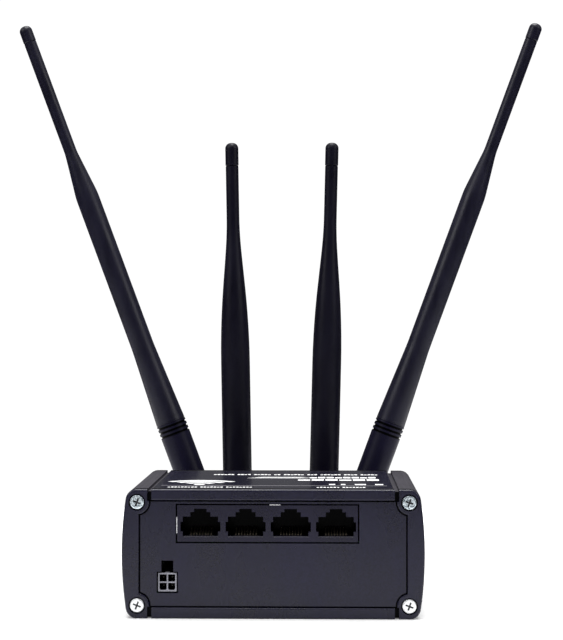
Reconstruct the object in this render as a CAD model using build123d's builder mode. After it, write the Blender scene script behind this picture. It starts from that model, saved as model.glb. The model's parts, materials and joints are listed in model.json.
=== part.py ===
"""A wireless router in an extruded case, with four hinged antennas on its back panel.

Units are millimetres. +X is to the right and -Y is the face with the ports. The origin is the middle of
the underside, so the router stands on z = 0. Each make_ function makes one sub-part and returns its
builder, and main writes them all.
"""

import math
import os
from dataclasses import dataclass

from build123d import *

# ---------------------------------------------------------------- case sizes
CASE_WIDTH = 106.4
CASE_HEIGHT = 45.4
CASE_DEPTH = 80.0
SIDE_BOW = 2.0
CORNER_RADIUS = 4.0
WALL = 1.8
PANEL_THICKNESS = 4.0
EDGE_ROUND = 0.8
RELIEF = 0.8
RELIEF_ROUND = 0.5
EDGE_BAND = 3.9
RAIL_WIDTH = 6.1
GROOVE_X = 43.4
GROOVE_WIDTH = 1.5
GROOVE_DEPTH = 1.0
LOWER_GROOVE_DEPTH = 0.4
LABEL_HALF_WIDTH = 42.3
LABEL_HALF_DEPTH = 35.5
LABEL_THICKNESS = 0.25

# ---------------------------------------------------------------- screw sizes
SCREW_X = 47.75
SCREW_EDGE = 4.6
LOBE_RADIUS = 4.3
SCREW_SHANK_RADIUS = 1.45
SCREW_HEAD_RADIUS = 2.6
SCREW_HEAD_HEIGHT = 1.25
SCREW_LENGTH = 12.0
COUNTERBORE_RADIUS = 2.95
COUNTERBORE_DEPTH = 1.3

# ---------------------------------------------------------------- board sizes
BOARD_THICKNESS = 1.6
MAIN_BOARD_TOP = 9.35
PORT_BOARD_TOP = 26.9
MAIN_BOARD_HALF_WIDTH = 49.0
PORT_BOARD_HALF_WIDTH = 50.2
MODEM_X = 26.5
MODEM_SIZE = (30.0, 51.0)
MODEM_THICKNESS = 1.0
MODEM_FRONT = -22.0
MODEM_STANDOFF = 4.0

# ---------------------------------------------------------------- port and inlet sizes
PORT_COUNT = 4
PORT_PITCH = 15.86
PORT_OFFSET = 0.25
JACK_CENTRE_X = -1.95
JACK_WIDTH = 63.4
JACK_HEIGHT = 12.85
JACK_DEPTH = 14.6
JACK_SETBACK = 0.2
PORT_FLOOR = 28.9
PORT_DEPTH = 11.6
SHIELD_THICKNESS = 0.25
POWER_X = -37.1
POWER_SIZE = 6.6
POWER_PITCH = 3.0
POWER_CELL = 2.52
POWER_DEPTH = 10.5
POWER_CELL_DEPTH = 8.0

# ---------------------------------------------------------------- status light and reset sizes
STATUS_XS = [-8.0, -4.0, 0.0, 4.0, 8.0]
STATUS_Z = 16.5
STATUS_PIPE = 1.8
RESET_X = 43.5
RESET_Z = 11.6
RESET_RADIUS = 0.8

# ---------------------------------------------------------------- antenna connector and hinge sizes
CONNECTOR_Z = 27.0
LONG_ANTENNA_X = 31.7
SHORT_ANTENNA_X = 17.45
THREAD_RADIUS = 3.1
FLANGE_THICKNESS = 1.6
WASHER_THICKNESS = 0.5
NUT_THICKNESS = 2.2
STEM_RADIUS = 2.6
LEAD_RADIUS = 0.65
HINGE_OFFSET = 24.0
PIN_RADIUS = 1.25
TONGUE_THICKNESS = 5.0
TONGUE_RADIUS = 5.3
FORK_RADIUS = 5.6
FORK_GAP = 5.3
FORK_THROAT = 5.9
SPIGOT_LENGTH = 8.0

# ---------------------------------------------------------------- places that follow from them
FRONT = -CASE_DEPTH / 2
BACK = CASE_DEPTH / 2
HOUSING_FRONT = FRONT + PANEL_THICKNESS
HOUSING_BACK = BACK - PANEL_THICKNESS
MID_HEIGHT = CASE_HEIGHT / 2
RAIL_X = CASE_WIDTH / 2 - RAIL_WIDTH
SCREW_PLACES = [(sx * SCREW_X, z) for sx in (-1, 1) for z in (SCREW_EDGE, CASE_HEIGHT - SCREW_EDGE)]
LOWER_GROOVE_Z = LOWER_GROOVE_DEPTH - GROOVE_DEPTH
GROOVE_PLACES = [(sx * GROOVE_X, z) for sx in (-1, 1) for z in (LOWER_GROOVE_Z, CASE_HEIGHT)]
STEP_PLACES = [(sx * GROOVE_X, z) for sx in (-1, 1) for z in (0, CASE_HEIGHT)]

JACK_FRONT = FRONT + RELIEF + JACK_SETBACK
JACK_BACK = JACK_FRONT + JACK_DEPTH
JACK_TOP = PORT_BOARD_TOP + JACK_HEIGHT
JACK_MIDDLE = (JACK_CENTRE_X, PORT_BOARD_TOP + JACK_HEIGHT / 2)
PORT_MIDDLE_X = JACK_CENTRE_X + PORT_OFFSET
PORT_XS = [PORT_MIDDLE_X + (i - (PORT_COUNT - 1) / 2) * PORT_PITCH for i in range(PORT_COUNT)]

POWER_FRONT = FRONT + RELIEF + 0.3
POWER_MIDDLE = (POWER_X, MAIN_BOARD_TOP + POWER_SIZE / 2)
POWER_TOP = MAIN_BOARD_TOP + POWER_SIZE

STATUS_FOOT_Y = HOUSING_BACK - 5.0
RESET_BODY_BACK = HOUSING_BACK - 2.2

MODEM_LEFT = MODEM_X - MODEM_SIZE[0] / 2
MODEM_RIGHT = MODEM_X + MODEM_SIZE[0] / 2
MODEM_BACK = MODEM_FRONT + MODEM_SIZE[1]
MODEM_BOTTOM = MAIN_BOARD_TOP + MODEM_STANDOFF
MODEM_TOP = MODEM_BOTTOM + MODEM_THICKNESS

NUT_SEAT = BACK - RELIEF + WASHER_THICKNESS
THREAD_END = BACK + 8.6
COUPLING_START = NUT_SEAT + NUT_THICKNESS + 0.5
COUPLING_LIP = THREAD_END + 1.2
COUPLING_END = COUPLING_LIP + 1.4
STEM_END = COUPLING_END + 2.8
HINGE_Y = BACK + HINGE_OFFSET


@dataclass
class Whip:
    """The sizes of one kind of antenna. Its heights are measured from the hinge pin along the rod."""

    foot_radius: float
    foot_top: float
    rings: tuple
    tip: float
    cap_length: float
    slim_radius: float
    bore_radius: float
    bore_top: float


LONG_WHIP = Whip(6.1, 38.6, (33.6, 35.4, 37.2), 212.0, 7.0, 2.55, 3.2, 130.0)
SHORT_WHIP = Whip(5.92, 14.0, (), 150.6, 9.4, 2.62, 3.4, 84.0)


@dataclass
class Antenna:
    """One antenna: its name, the x of its jack, its lean towards +X in degrees and its kind."""

    name: str
    x: float
    lean: float
    kind: Whip

    @property
    def pin(self):
        """The middle of the hinge pin."""
        return (self.x, HINGE_Y, CONNECTOR_Z)

    @property
    def along_pin(self):
        """The direction of the hinge pin."""
        angle = math.radians(self.lean)
        return (math.cos(angle), 0, -math.sin(angle))

    @property
    def along_rod(self):
        """The direction from the hinge to the tip."""
        angle = math.radians(self.lean)
        return (math.sin(angle), 0, math.cos(angle))

    def across(self, height):
        """A plane square to the rod, at this height above the pin."""
        return Plane(self.pin, x_dir=self.along_pin, z_dir=self.along_rod).offset(height)

    def lengthwise(self):
        """The plane of the pin and the rod: its x is along the pin and its y is along the rod."""
        return Plane(self.pin, x_dir=self.along_pin, z_dir=(0, -1, 0))

    def sideways(self, shift):
        """A plane square to the pin: its x is the case's +Y and its y is along the rod."""
        return Plane(self.pin, x_dir=(0, 1, 0), z_dir=self.along_pin).offset(shift)

    def rod_axis(self):
        """The rod's own axis."""
        return Axis(self.pin, self.along_rod)


ANTENNAS = [
    Antenna("long_left", -LONG_ANTENNA_X, -20.4, LONG_WHIP),
    Antenna("short_left", -SHORT_ANTENNA_X, -1.0, SHORT_WHIP),
    Antenna("short_right", SHORT_ANTENNA_X, 1.4, SHORT_WHIP),
    Antenna("long_right", LONG_ANTENNA_X, 20.2, LONG_WHIP),
]
CONNECTOR_PLACES = [(a.x, CONNECTOR_Z) for a in ANTENNAS]


# ---------------------------------------------------------------- shared helpers
def cross_plane(y):
    """A plane across the case at y, which faces -Y: its x and y are the case's X and Z."""
    return Plane.XZ.offset(-y)


def level(z):
    """A level plane at height z."""
    return Plane.XY.offset(z)


def rods_along_y(places, radius, start, end, mode=Mode.ADD):
    """Adds a rod along Y at each (x, z) place of the current part, from start back to end."""
    with BuildSketch(cross_plane(end)) as discs:
        with Locations(*places):
            Circle(radius)
    extrude(discs.sketch, amount=end - start, mode=mode)


def box_between(low, high, mode=Mode.ADD):
    """Adds a box between two opposite corners to the current part."""
    with BuildSketch(level(low[2])) as footprint:
        with Locations(((low[0] + high[0]) / 2, (low[1] + high[1]) / 2)):
            Rectangle(high[0] - low[0], high[1] - low[1])
    extrude(footprint.sketch, amount=high[2] - low[2], mode=mode)


def case_outline(inset=0.0):
    """The case's end outline as a flat sketch: bowed sides, level top and base, round corners."""
    corner_x = CASE_WIDTH / 2 - SIDE_BOW - inset
    middle_x = CASE_WIDTH / 2 - inset
    low, high = inset, CASE_HEIGHT - inset
    with BuildSketch() as outline:
        with BuildLine():
            Line((-corner_x, low), (corner_x, low))
            ThreePointArc((corner_x, low), (middle_x, MID_HEIGHT), (corner_x, high))
            Line((corner_x, high), (-corner_x, high))
            ThreePointArc((-corner_x, high), (-middle_x, MID_HEIGHT), (-corner_x, low))
        make_face()
        fillet(outline.vertices(), CORNER_RADIUS - inset)
    return outline.sketch


# ---------------------------------------------------------------- case
def make_housing():
    """The extruded sleeve: screw channels in its corners, slots for two boards and grooves outside."""
    channel_radius = 3.0
    rib_height, rib_reach, rib_x = 1.2, 12.0, RAIL_X - 0.6
    slot_play = 0.15
    backing_width, backing_height = GROOVE_WIDTH + 2.0, 2.0
    length = HOUSING_BACK - HOUSING_FRONT
    with BuildPart() as housing:
        with BuildSketch(cross_plane(HOUSING_BACK)):
            add(case_outline())
            with Locations(*GROOVE_PLACES):
                Rectangle(GROOVE_WIDTH, 2 * GROOVE_DEPTH, mode=Mode.SUBTRACT)
        extrude(amount=length)
        with BuildSketch(cross_plane(HOUSING_BACK)):
            add(case_outline(inset=WALL))
            with Locations(*SCREW_PLACES):
                Circle(channel_radius, mode=Mode.SUBTRACT)
            with Locations(*[(x, abs(z - WALL)) for x, z in GROOVE_PLACES]):
                Rectangle(backing_width, backing_height, mode=Mode.SUBTRACT)
            for board_top in (MAIN_BOARD_TOP, PORT_BOARD_TOP):
                rib_above = board_top + slot_play + rib_height / 2
                rib_below = board_top - BOARD_THICKNESS - rib_height / 2
                for z in (rib_above, rib_below):
                    with Locations((rib_x + rib_reach / 2, z), (-rib_x - rib_reach / 2, z)):
                        Rectangle(rib_reach, rib_height, mode=Mode.SUBTRACT)
        extrude(amount=length, mode=Mode.SUBTRACT)
        bore_radius = SCREW_SHANK_RADIUS + 0.05
        rods_along_y(SCREW_PLACES, bore_radius, HOUSING_FRONT, HOUSING_BACK, mode=Mode.SUBTRACT)
        label_corner = (LABEL_HALF_WIDTH, LABEL_HALF_DEPTH, CASE_HEIGHT + 1.0)
        opposite = (-LABEL_HALF_WIDTH, -LABEL_HALF_DEPTH, CASE_HEIGHT - LABEL_THICKNESS)
        box_between(opposite, label_corner, mode=Mode.SUBTRACT)
    return housing


def make_top_label():
    """The film in the shallow recess on the top of the case."""
    film_gap, film_corner = 0.15, 0.8
    width = 2 * (LABEL_HALF_WIDTH - film_gap)
    depth = 2 * (LABEL_HALF_DEPTH - film_gap)
    with BuildPart() as label:
        with BuildSketch(level(CASE_HEIGHT - LABEL_THICKNESS)):
            RectangleRounded(width, depth, film_corner)
        extrude(amount=LABEL_THICKNESS)
    return label


def panel_field(inset=0.0):
    """The sunk middle of a panel's face as a flat sketch: it runs round the screw lobes."""
    with BuildSketch() as field:
        with Locations((0, MID_HEIGHT)):
            Rectangle(2 * (RAIL_X - inset), CASE_HEIGHT - 2 * (EDGE_BAND + inset))
        with Locations(*SCREW_PLACES):
            Circle(LOBE_RADIUS + inset, mode=Mode.SUBTRACT)
    return field.sketch


def borders_field(edge):
    """Tells whether an edge of a panel's face belongs to the sunk middle and not to the outline."""
    middle = edge.center()
    margin = EDGE_BAND / 2
    inside_x = abs(middle.X) < RAIL_X + margin
    inside_z = abs(middle.Z - MID_HEIGHT) < MID_HEIGHT - margin
    return inside_x and inside_z


def make_panel(outer, inner):
    """A moulded end panel without its openings. outer is the y of its face and inner of its back."""
    facing = math.copysign(1, outer)
    channel_width, channel_depth = 0.5, 1.4
    lip_height, lip_depth, lip_gap, lip_width = 1.3, 2.4, 0.2, 76.0
    step_sink, step_overrun = 1.6, 0.3
    lip_z = WALL + lip_gap + lip_height / 2
    with BuildPart() as panel:
        with BuildSketch(cross_plane(inner)):
            add(case_outline())
        extrude(amount=inner - outer)
        outer_face = panel.faces().sort_by(Axis.Y)[-1 if facing > 0 else 0]
        fillet(outer_face.edges(), EDGE_ROUND)
        with BuildSketch(cross_plane(outer)):
            add(panel_field())
        extrude(amount=facing * RELIEF, mode=Mode.SUBTRACT)
        face_edges = panel.edges().group_by(Axis.Y)[-1 if facing > 0 else 0]
        fillet(face_edges.filter_by(borders_field), RELIEF_ROUND)
        with BuildSketch(cross_plane(outer)):
            add(panel_field())
            add(panel_field(inset=channel_width), mode=Mode.SUBTRACT)
        extrude(amount=facing * (RELIEF + channel_depth), mode=Mode.SUBTRACT)
        with BuildSketch(cross_plane(inner)):
            with Locations(*GROOVE_PLACES):
                Rectangle(GROOVE_WIDTH, 2 * GROOVE_DEPTH)
        extrude(amount=inner - outer, mode=Mode.SUBTRACT)
        with BuildSketch(cross_plane(outer)):
            with Locations(*STEP_PLACES):
                Rectangle(GROOVE_WIDTH, 2 * (EDGE_BAND + step_overrun))
        extrude(amount=facing * step_sink, mode=Mode.SUBTRACT)
        with BuildSketch(cross_plane(inner)):
            with Locations((0, lip_z), (0, CASE_HEIGHT - lip_z)):
                Rectangle(lip_width, lip_height)
        extrude(amount=facing * lip_depth)
        low, high = min(outer, inner), max(outer, inner)
        rods_along_y(SCREW_PLACES, SCREW_SHANK_RADIUS + 0.15, low, high, mode=Mode.SUBTRACT)
        seat = outer - facing * COUNTERBORE_DEPTH
        low, high = min(outer, seat), max(outer, seat)
        rods_along_y(SCREW_PLACES, COUNTERBORE_RADIUS, low, high, mode=Mode.SUBTRACT)
    return panel


def make_front_panel():
    """The face with the ports: cut out for the jack block and the power header, with counting pips."""
    jack_gap = SHIELD_THICKNESS + 0.25
    pip_radius, pip_height, pip_pitch, pip_z = 0.4, 0.12, 1.7, 24.6
    power_gap, power_corner = 0.45, 0.3
    latch_width, latch_height = 4.2, 3.9
    cut_size = POWER_SIZE + 2 * power_gap
    latch_middle = POWER_TOP + power_gap + latch_height / 2
    with BuildPart() as panel:
        add(make_panel(FRONT, HOUSING_FRONT).part)
        with BuildSketch(cross_plane(HOUSING_FRONT)):
            with Locations(JACK_MIDDLE):
                Rectangle(JACK_WIDTH + 2 * jack_gap, JACK_HEIGHT + 2 * jack_gap)
            with Locations(POWER_MIDDLE):
                RectangleRounded(cut_size, cut_size, power_corner)
            with Locations((POWER_X, latch_middle - power_corner)):
                Rectangle(latch_width, latch_height + 2 * power_corner)
        extrude(amount=PANEL_THICKNESS, mode=Mode.SUBTRACT)
        with BuildSketch(cross_plane(FRONT + RELIEF)):
            for pips, port_x in enumerate(PORT_XS, start=1):
                with Locations((port_x, pip_z)):
                    with GridLocations(pip_pitch, pip_pitch, pips, 1):
                        Circle(pip_radius)
        extrude(amount=pip_height)
    return panel


def make_back_panel():
    """The face with the antennas: bored for their jacks, five status lights and the reset pinhole."""
    pinhole_radius, window_play, window_corner = 1.0, 0.1, 0.2
    with BuildPart() as panel:
        add(make_panel(BACK, HOUSING_BACK).part)
        rods_along_y(CONNECTOR_PLACES, THREAD_RADIUS + 0.1, HOUSING_BACK, BACK, mode=Mode.SUBTRACT)
        rods_along_y([(RESET_X, RESET_Z)], pinhole_radius, HOUSING_BACK, BACK, mode=Mode.SUBTRACT)
        with BuildSketch(cross_plane(BACK)):
            with Locations(*[(x, STATUS_Z) for x in STATUS_XS]):
                RectangleRounded(STATUS_PIPE + window_play, STATUS_PIPE + window_play, window_corner)
        extrude(amount=PANEL_THICKNESS, mode=Mode.SUBTRACT)
    return panel


def make_screws(face):
    """The four pan-head screws of one panel: separate solids that share a node."""
    facing = math.copysign(1, face)
    seat = face - facing * COUNTERBORE_DEPTH
    top = seat + facing * SCREW_HEAD_HEIGHT
    tip = seat - facing * SCREW_LENGTH
    cross_length, cross_width, cross_depth, cross_turn = 2.9, 0.6, 0.9, -20
    head_round = 0.6
    with BuildPart() as screws:
        rods_along_y(SCREW_PLACES, SCREW_SHANK_RADIUS, min(seat, tip), max(seat, tip))
        rods_along_y(SCREW_PLACES, SCREW_HEAD_RADIUS, min(seat, top), max(seat, top))
        rims = screws.edges().filter_by(GeomType.CIRCLE).group_by(Axis.Y)[-1 if facing > 0 else 0]
        fillet(rims, head_round)
        with BuildSketch(cross_plane(top)):
            with Locations(*SCREW_PLACES):
                Rectangle(cross_length, cross_width, rotation=cross_turn)
                Rectangle(cross_width, cross_length, rotation=cross_turn)
        extrude(amount=facing * cross_depth, mode=Mode.SUBTRACT)
    return screws


# ---------------------------------------------------------------- network ports
def make_jack_housing():
    """The moulded block that holds the four network ports, each with a stepped mouth."""
    mouth_steps = [(12.4, 1.6), (14.05, 3.4), (12.4, 1.85), (7.05, 1.6), (4.4, 1.15)]
    shoulder_z = PORT_FLOOR + mouth_steps[0][1]
    lead_in = 0.4
    heel_inset, heel_depth, heel_height = 3.0, 1.5, 3.0
    with BuildPart() as jack:
        with BuildSketch(cross_plane(JACK_BACK)):
            with Locations(JACK_MIDDLE):
                Rectangle(JACK_WIDTH, JACK_HEIGHT)
        extrude(amount=JACK_DEPTH)
        with BuildSketch(cross_plane(JACK_FRONT + PORT_DEPTH)):
            for x in PORT_XS:
                z = PORT_FLOOR
                for width, height in mouth_steps:
                    with Locations((x, z + height / 2)):
                        Rectangle(width, height)
                    z += height
        extrude(amount=PORT_DEPTH, mode=Mode.SUBTRACT)
        front_edges = jack.edges().filter_by_position(Axis.Y, JACK_FRONT, JACK_FRONT)
        sills = front_edges.filter_by(Axis.X).filter_by_position(Axis.Z, PORT_FLOOR, shoulder_z)
        chamfer(sills, lead_in)
        heel_left = JACK_CENTRE_X - JACK_WIDTH / 2 + heel_inset
        heel_right = JACK_CENTRE_X + JACK_WIDTH / 2 - heel_inset
        low = (heel_left, JACK_BACK - heel_depth, PORT_BOARD_TOP)
        high = (heel_right, JACK_BACK, PORT_BOARD_TOP + heel_height)
        box_between(low, high, mode=Mode.SUBTRACT)
    return jack


def make_jack_contacts():
    """Eight sprung strips in each port, which lie on its floor and ramp up towards its back."""
    strip_count, strip_pitch, strip_width, thickness = 8, 1.02, 0.42, 0.3
    nose_y = JACK_FRONT + 3.4
    foot_y = JACK_FRONT + PORT_DEPTH
    crest_y, crest_z, crest_length = foot_y - 1.6, PORT_FLOOR + 2.1, 1.0
    knee_y, nose_height = nose_y + 1.4, 0.48
    with BuildPart() as contacts:
        for port_x in PORT_XS:
            for i in range(strip_count):
                x = port_x + (i - (strip_count - 1) / 2) * strip_pitch
                with BuildSketch(Plane.YZ.offset(x - strip_width / 2)):
                    with BuildLine():
                        Polyline(
                            (foot_y, PORT_FLOOR),
                            (nose_y, PORT_FLOOR),
                            (nose_y, PORT_FLOOR + nose_height),
                            (crest_y, crest_z),
                            (crest_y + crest_length, crest_z),
                            (crest_y + crest_length, crest_z - thickness),
                            (crest_y, crest_z - thickness),
                            (knee_y, PORT_FLOOR + thickness),
                            (foot_y, PORT_FLOOR + thickness),
                            close=True,
                        )
                    make_face()
                extrude(amount=strip_width)
    return contacts


def make_jack_shield():
    """The folded tinned sheet over the jack block, with two earthing tabs that reach the face."""
    front, tab_front = JACK_FRONT + 2.6, JACK_FRONT + 0.05
    inner_left, inner_right = JACK_CENTRE_X - JACK_WIDTH / 2, JACK_CENTRE_X + JACK_WIDTH / 2
    outer_left, outer_right = inner_left - SHIELD_THICKNESS, inner_right + SHIELD_THICKNESS
    outer_back, outer_top = JACK_BACK + SHIELD_THICKNESS, JACK_TOP + SHIELD_THICKNESS
    side_tab_low, side_tab_high = PORT_FLOOR + 1.0, PORT_FLOOR + 6.6
    top_tab_left, top_tab_right = -1.2, 2.6
    with BuildPart() as shield:
        box_between((outer_left, front, PORT_BOARD_TOP), (outer_right, outer_back, outer_top))
        box_between((outer_left, tab_front, side_tab_low), (inner_left, front, side_tab_high))
        box_between((top_tab_left, tab_front, JACK_TOP), (top_tab_right, front, outer_top))
        inner_low = (inner_left, front, PORT_BOARD_TOP)
        box_between(inner_low, (inner_right, JACK_BACK, JACK_TOP), mode=Mode.SUBTRACT)
    return shield


# ---------------------------------------------------------------- power inlet
def make_power_socket():
    """The four-way power header: a square grid of cells, with a latch ramp on its top."""
    body_corner, key_cut, front_cut = 0.25, 0.45, 0.15
    ramp_half_width, ramp_height, ramp_length = 0.8, 1.6, 2.6
    ramp_front = POWER_FRONT + 0.35
    with BuildPart() as socket:
        with BuildSketch(cross_plane(POWER_FRONT + POWER_DEPTH)):
            with Locations(POWER_MIDDLE):
                RectangleRounded(POWER_SIZE, POWER_SIZE, body_corner)
        extrude(amount=POWER_DEPTH)
        chamfer(socket.faces().sort_by(Axis.Y)[0].edges(), front_cut)
        with BuildSketch(cross_plane(POWER_FRONT + POWER_CELL_DEPTH)) as cells:
            with Locations(POWER_MIDDLE):
                with GridLocations(POWER_PITCH, POWER_PITCH, 2, 2):
                    Rectangle(POWER_CELL, POWER_CELL)
            keyed_corners = cells.vertices().group_by(Axis.Y)[0]
            chamfer(keyed_corners, key_cut)
        extrude(amount=POWER_CELL_DEPTH, mode=Mode.SUBTRACT)
        with BuildSketch(Plane.YZ.offset(POWER_X - ramp_half_width)):
            with BuildLine():
                Polyline(
                    (ramp_front, POWER_TOP),
                    (ramp_front + ramp_length, POWER_TOP + ramp_height),
                    (ramp_front + ramp_length, POWER_TOP),
                    close=True,
                )
            make_face()
        extrude(amount=2 * ramp_half_width)
    return socket


def make_power_pins():
    """The four square contact pins inside the power header."""
    pin_size, pin_length, pin_point = 0.64, 5.0, 0.15
    with BuildPart() as pins:
        with BuildSketch(cross_plane(POWER_FRONT + POWER_CELL_DEPTH)):
            with Locations(POWER_MIDDLE):
                with GridLocations(POWER_PITCH, POWER_PITCH, 2, 2):
                    Rectangle(pin_size, pin_size)
        extrude(amount=pin_length)
        chamfer(pins.faces().group_by(Axis.Y)[0].edges(), pin_point)
    return pins


# ---------------------------------------------------------------- status lights and reset
def make_status_light_pipes():
    """Five bent pipes that stand over the status lights and end as windows in the back panel."""
    half = STATUS_PIPE / 2
    foot_z = MAIN_BOARD_TOP + 1.0
    window_y = BACK - RELIEF
    with BuildPart() as pipes:
        for x in STATUS_XS:
            with BuildSketch(Plane.YZ.offset(x - half)):
                with BuildLine():
                    Polyline(
                        (STATUS_FOOT_Y - half, foot_z),
                        (STATUS_FOOT_Y + half, foot_z),
                        (STATUS_FOOT_Y + half, STATUS_Z - half),
                        (window_y, STATUS_Z - half),
                        (window_y, STATUS_Z + half),
                        (STATUS_FOOT_Y + half, STATUS_Z + half),
                        (STATUS_FOOT_Y - half, STATUS_Z - half),
                        close=True,
                    )
                make_face()
            extrude(amount=STATUS_PIPE)
    return pipes


def make_status_lights():
    """The five surface-mounted lights under the bent pipes."""
    half_width, half_depth, height = 0.8, 0.4, 0.8
    with BuildPart() as lights:
        for x in STATUS_XS:
            low = (x - half_width, STATUS_FOOT_Y - half_depth, MAIN_BOARD_TOP)
            high = (x + half_width, STATUS_FOOT_Y + half_depth, MAIN_BOARD_TOP + height)
            box_between(low, high)
    return lights


def make_reset_switch():
    """The body of the side-acting reset switch, bored for its plunger."""
    half_width, depth, bore_depth, headroom = 2.2, 3.6, 2.2, 2.0
    low = (RESET_X - half_width, RESET_BODY_BACK - depth, MAIN_BOARD_TOP)
    high = (RESET_X + half_width, RESET_BODY_BACK, RESET_Z + headroom)
    bore_start = RESET_BODY_BACK - bore_depth
    with BuildPart() as switch:
        box_between(low, high)
        place = [(RESET_X, RESET_Z)]
        rods_along_y(place, RESET_RADIUS + 0.05, bore_start, RESET_BODY_BACK, mode=Mode.SUBTRACT)
    return switch


def make_reset_plunger():
    """The plunger that a pin pushes through the pinhole."""
    sunk, proud, nose_round = 1.5, 1.3, 0.25
    with BuildPart() as plunger:
        rods_along_y([(RESET_X, RESET_Z)], RESET_RADIUS, RESET_BODY_BACK - sunk, RESET_BODY_BACK + proud)
        nose = plunger.edges().filter_by(GeomType.CIRCLE).sort_by(Axis.Y)[-1]
        fillet(nose, nose_round)
    return plunger


# ---------------------------------------------------------------- circuit boards and what they carry
def make_main_board():
    """The lower circuit board, which slides in the lower slots."""
    with BuildPart() as board:
        low = (-MAIN_BOARD_HALF_WIDTH, HOUSING_FRONT + 0.4, MAIN_BOARD_TOP - BOARD_THICKNESS)
        high = (MAIN_BOARD_HALF_WIDTH, HOUSING_BACK - 2.0, MAIN_BOARD_TOP)
        box_between(low, high)
    return board


def make_port_board():
    """The upper circuit board, which carries the jack block and slides in the upper slots."""
    with BuildPart() as board:
        low = (-PORT_BOARD_HALF_WIDTH, HOUSING_FRONT + 0.4, PORT_BOARD_TOP - BOARD_THICKNESS)
        high = (PORT_BOARD_HALF_WIDTH, -5.0, PORT_BOARD_TOP)
        box_between(low, high)
    return board


def make_board_link():
    """The tall pin header that joins the main board to the port board above it."""
    left, right, front, back, corner_cut = -24.0, 4.0, -12.0, -7.0, 0.4
    with BuildPart() as link:
        box_between((left, front, MAIN_BOARD_TOP), (right, back, PORT_BOARD_TOP - BOARD_THICKNESS))
        chamfer(link.edges().filter_by(Axis.Z), corner_cut)
    return link


def make_network_transformers():
    """The isolating transformers behind the ports, one block for each."""
    width, depth, height, gap = 12.4, 8.4, 5.6, 2.4
    front = JACK_BACK + gap
    with BuildPart() as transformers:
        for x in PORT_XS:
            low = (x - width / 2, front, PORT_BOARD_TOP)
            high = (x + width / 2, front + depth, PORT_BOARD_TOP + height)
            box_between(low, high)
    return transformers


def make_processor():
    """The main processor under its pressed shielding lid."""
    size, height, corner, centre = 19.0, 2.6, 1.0, (-12.0, 6.0)
    with BuildPart() as chip:
        with BuildSketch(level(MAIN_BOARD_TOP)):
            with Locations(centre):
                RectangleRounded(size, size, corner)
        extrude(amount=height)
    return chip


def make_memory_chips():
    """The working-memory and flash chips beside the processor."""
    left = -31.5
    memory_right, memory_front, memory_back, memory_height = -23.5, 2.0, 14.0, 1.1
    flash_right, flash_front, flash_back, flash_height = -26.5, -6.0, 0.0, 1.7
    memory_corner = (memory_right, memory_back, MAIN_BOARD_TOP + memory_height)
    flash_corner = (flash_right, flash_back, MAIN_BOARD_TOP + flash_height)
    with BuildPart() as chips:
        box_between((left, memory_front, MAIN_BOARD_TOP), memory_corner)
        box_between((left, flash_front, MAIN_BOARD_TOP), flash_corner)
    return chips


def make_power_choke():
    """The square choke of the power stage behind the inlet."""
    size, corner, height, centre_y = 8.0, 1.2, 4.2, -21.5
    with BuildPart() as choke:
        with BuildSketch(level(MAIN_BOARD_TOP)):
            with Locations((POWER_X, centre_y)):
                RectangleRounded(size, size, corner)
        extrude(amount=height)
    return choke


def make_power_capacitors():
    """The two electrolytic capacitors of the power stage."""
    can_radius, can_height, can_round, spread, can_y = 4.0, 10.5, 0.5, 4.4, -11.5
    with BuildPart() as capacitors:
        with BuildSketch(level(MAIN_BOARD_TOP)):
            with Locations((POWER_X - spread, can_y), (POWER_X + spread, can_y)):
                Circle(can_radius)
        extrude(amount=can_height)
        tops = capacitors.edges().filter_by(GeomType.CIRCLE).group_by(Axis.Z)[-1]
        fillet(tops, can_round)
    return capacitors


def make_modem_socket():
    """The edge socket and two latch posts that hold the modem card above the main board."""
    jaw_depth, jaw_overhang, jaw_rise = 6.0, 1.0, 1.2
    post_inset, post_half_width, post_depth, post_heel, post_rise = 3.0, 2.0, 5.0, 1.6, 0.6
    jaw_low = (MODEM_LEFT - jaw_overhang, MODEM_FRONT - jaw_depth, MAIN_BOARD_TOP)
    jaw_high = (MODEM_RIGHT + jaw_overhang, MODEM_FRONT, MODEM_TOP + jaw_rise)
    with BuildPart() as socket:
        box_between(jaw_low, jaw_high)
        for x in (MODEM_LEFT + post_inset, MODEM_RIGHT - post_inset):
            left, right, heel = x - post_half_width, x + post_half_width, MODEM_BACK + post_heel
            box_between((left, MODEM_BACK - post_depth, MAIN_BOARD_TOP), (right, heel, MODEM_BOTTOM))
            box_between((left, MODEM_BACK, MODEM_BOTTOM), (right, heel, MODEM_TOP + post_rise))
    return socket


def make_modem_card():
    """The plug-in card of the mobile-network modem."""
    with BuildPart() as card:
        low = (MODEM_LEFT, MODEM_FRONT, MODEM_BOTTOM)
        high = (MODEM_RIGHT, MODEM_BACK, MODEM_TOP)
        box_between(low, high)
    return card


def make_modem_shield():
    """The pressed shielding can over the modem's circuit."""
    side_margin, front_margin, length, height, corner, sheet = 2.0, 3.0, 34.0, 2.4, 1.0, 0.2
    width = MODEM_SIZE[0] - 2 * side_margin
    with BuildPart() as can:
        with BuildSketch(level(MODEM_TOP)):
            with Locations((MODEM_X, MODEM_FRONT + front_margin + length / 2)):
                RectangleRounded(width, length, corner)
        extrude(amount=height)
        open_face = can.faces().sort_by(Axis.Z)[0]
        offset(amount=-sheet, openings=open_face)
    return can


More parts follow.
